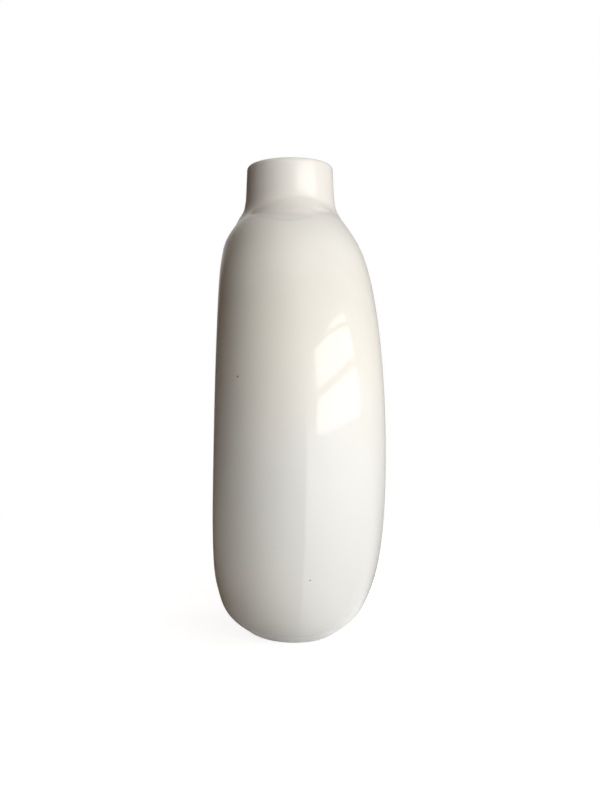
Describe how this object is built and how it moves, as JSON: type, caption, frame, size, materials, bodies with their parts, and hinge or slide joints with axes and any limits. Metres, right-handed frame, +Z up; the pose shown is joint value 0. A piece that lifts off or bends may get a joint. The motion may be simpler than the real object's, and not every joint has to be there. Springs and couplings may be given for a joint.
{
  "type": "ring vase",
  "caption": "Upright hollow ceramic ring with a short straight neck on top and an oval foot, a flower vase that holds water and a few stems.",
  "frame": {"origin": "middle of the foot on the surface that the vase stands on", "axes": "+Z up along the neck; the ring stands in the XZ plane and its eye opens along Y"},
  "size_m": [0.235, 0.0832, 0.25],
  "materials": {
    "white_glaze": "glossy cream-white glaze over all joints",
    "bare_clay": "unglazed, fired clay, fine grit"
  },
  "bodies": {
    "root": {"front_shell": "white_glaze", "rear_shell": "white_glaze", "outer_seam_right": "white_glaze", "outer_seam_left": "white_glaze", "inner_seam": "white_glaze", "neck": "white_glaze", "neck_coil": "white_glaze", "foot": "bare_clay"}
  },
  "joints": []
}
